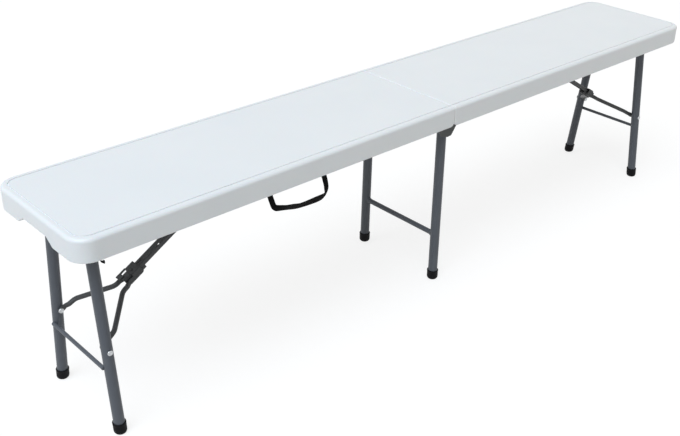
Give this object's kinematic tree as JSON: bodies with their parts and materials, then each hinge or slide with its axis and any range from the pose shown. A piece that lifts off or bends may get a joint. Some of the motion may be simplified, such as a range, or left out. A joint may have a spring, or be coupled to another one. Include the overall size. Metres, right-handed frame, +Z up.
{
  "type": "folding bench",
  "caption": "Long white plastic folding bench that folds in half, on splayed tubular steel legs with toggle braces, a middle leg and a webbing carry handle.",
  "frame": {"origin": "on the floor under the middle of the bench", "axes": "+X along the bench to the half without the carry handle, +Y across it away from the carry handle, +Z up"},
  "size_m": [1.83, 0.3, 0.45],
  "materials": {
    "seat_plastic": "white HDPE with a fine moulded grain",
    "leg_paint": "dark grey powder coat, semi-gloss",
    "brace_paint": "dark grey powder coat, semi-gloss",
    "frame_paint": "dark grey powder coat, satin",
    "zinc_steel": "bright zinc plating",
    "foot_rubber": "moulded, dull",
    "webbing": "woven polypropylene",
    "latch_plastic": "moulded black"
  },
  "bodies": {
    "left_half": {"seat_left": "seat_plastic", "rail_near_left": "frame_paint", "rail_far_left": "frame_paint", "leg_strap_left": "frame_paint", "brace_strap_left": "frame_paint", "hinge_strap_left": "frame_paint", "leg_saddles_left": "frame_paint", "brace_anchor_left": "frame_paint", "anchor_pin_left": "zinc_steel", "deck_screws_left": "zinc_steel", "hinge_bracket_near_left": "frame_paint", "hinge_bracket_far_left": "frame_paint", "hinge_pins": "zinc_steel", "mid_leg_stop_pins": "zinc_steel", "handle_clips": "zinc_steel", "handle_screws": "zinc_steel", "latch_pin": "zinc_steel"},
    "right_half": {"seat_right": "seat_plastic", "rail_near_right": "frame_paint", "rail_far_right": "frame_paint", "leg_strap_right": "frame_paint", "brace_strap_right": "frame_paint", "hinge_strap_right": "frame_paint", "leg_saddles_right": "frame_paint", "brace_anchor_right": "frame_paint", "anchor_pin_right": "zinc_steel", "deck_screws_right": "zinc_steel", "hinge_bracket_near_right": "frame_paint", "hinge_bracket_far_right": "frame_paint", "catch_pin": "zinc_steel"},
    "mid_leg": {"mid_leg_near": "leg_paint", "mid_leg_far": "leg_paint", "mid_cross_bar": "leg_paint", "mid_feet": "foot_rubber"},
    "handle": {"carry_handle": "webbing"},
    "latch": {"latch_hook": "latch_plastic"},
    "end_leg_left": {"end_leg_left": "leg_paint", "end_cross_rod_left": "leg_paint", "end_feet_left": "foot_rubber", "leg_rivets_left": "zinc_steel"},
    "link_left": {"brace_link_left": "brace_paint"},
    "arms_left": {"brace_arm_near_left": "brace_paint", "brace_arm_far_left": "brace_paint", "elbow_pin_left": "brace_paint", "arm_rivets_left": "zinc_steel"},
    "lock_left": {"brace_lock_left": "brace_paint", "lock_stud_left": "brace_paint"},
    "end_leg_right": {"end_leg_right": "leg_paint", "end_cross_rod_right": "leg_paint", "end_feet_right": "foot_rubber", "leg_rivets_right": "zinc_steel"},
    "link_right": {"brace_link_right": "brace_paint"},
    "arms_right": {"brace_arm_near_right": "brace_paint", "brace_arm_far_right": "brace_paint", "elbow_pin_right": "brace_paint", "arm_rivets_right": "zinc_steel"},
    "lock_right": {"brace_lock_right": "brace_paint", "lock_stud_right": "brace_paint"}
  },
  "joints": [
    {"name": "main_fold", "type": "hinge", "parent": "left_half", "child": "right_half", "pos_m": [0, 0, 0.4025], "axis": [0, 1, 0], "range_deg": [0, 180]},
    {"name": "end_leg_fold_left", "type": "hinge", "parent": "left_half", "child": "end_leg_left", "pos_m": [-0.852, 0, 0.4185], "axis": [0, -1, 0], "range_deg": [0, 90]},
    {"name": "link_swing_left", "type": "hinge", "parent": "left_half", "child": "link_left", "pos_m": [-0.452, 0, 0.4185], "axis": [0, 1, 0], "range_deg": [0, 30.92]},
    {"name": "elbow_left", "type": "hinge", "parent": "link_left", "child": "arms_left", "pos_m": [-0.72085, 0, 0.25753], "axis": [0, -1, 0], "range_deg": [0, 180]},
    {"name": "lock_slide_left", "type": "slide", "parent": "link_left", "child": "lock_left", "axis": [0.858, 0, 0.5137], "range_m": [0, 0.025]},
    {"name": "end_leg_fold_right", "type": "hinge", "parent": "right_half", "child": "end_leg_right", "pos_m": [0.852, 0, 0.4185], "axis": [0, 1, 0], "range_deg": [0, 90]},
    {"name": "link_swing_right", "type": "hinge", "parent": "right_half", "child": "link_right", "pos_m": [0.452, 0, 0.4185], "axis": [0, -1, 0], "range_deg": [0, 30.92]},
    {"name": "elbow_right", "type": "hinge", "parent": "link_right", "child": "arms_right", "pos_m": [0.72085, 0, 0.25753], "axis": [0, 1, 0], "range_deg": [0, 180]},
    {"name": "lock_slide_right", "type": "slide", "parent": "link_right", "child": "lock_right", "axis": [-0.858, 0, 0.5137], "range_m": [0, 0.025]},
    {"name": "mid_leg_fold", "type": "hinge", "parent": "left_half", "child": "mid_leg", "pos_m": [0, 0, 0.4025], "axis": [0, 1, 0], "range_deg": [0, 90]},
    {"name": "handle_swing", "type": "hinge", "parent": "left_half", "child": "handle", "pos_m": [-0.436, -0.1366, 0.4025], "axis": [-1, 0, 0], "range_deg": [0, 90]},
    {"name": "latch_swing", "type": "hinge", "parent": "left_half", "child": "latch", "pos_m": [-0.864, -0.138, 0.4155], "axis": [0, -1, 0], "range_deg": [0, 15]}
  ],
  "couplings": [
    {"joint": "end_leg_fold_left", "follows": "main_fold", "ratio": 0.5},
    {"joint": "link_swing_left", "follows": "main_fold", "ratio": 0.17173},
    {"joint": "elbow_left", "follows": "main_fold", "ratio": 1},
    {"joint": "end_leg_fold_right", "follows": "main_fold", "ratio": 0.5},
    {"joint": "link_swing_right", "follows": "main_fold", "ratio": 0.17173},
    {"joint": "elbow_right", "follows": "main_fold", "ratio": 1},
    {"joint": "mid_leg_fold", "follows": "main_fold", "ratio": 0.5},
    {"joint": "handle_swing", "follows": "main_fold", "ratio": 0.5}
  ]
}
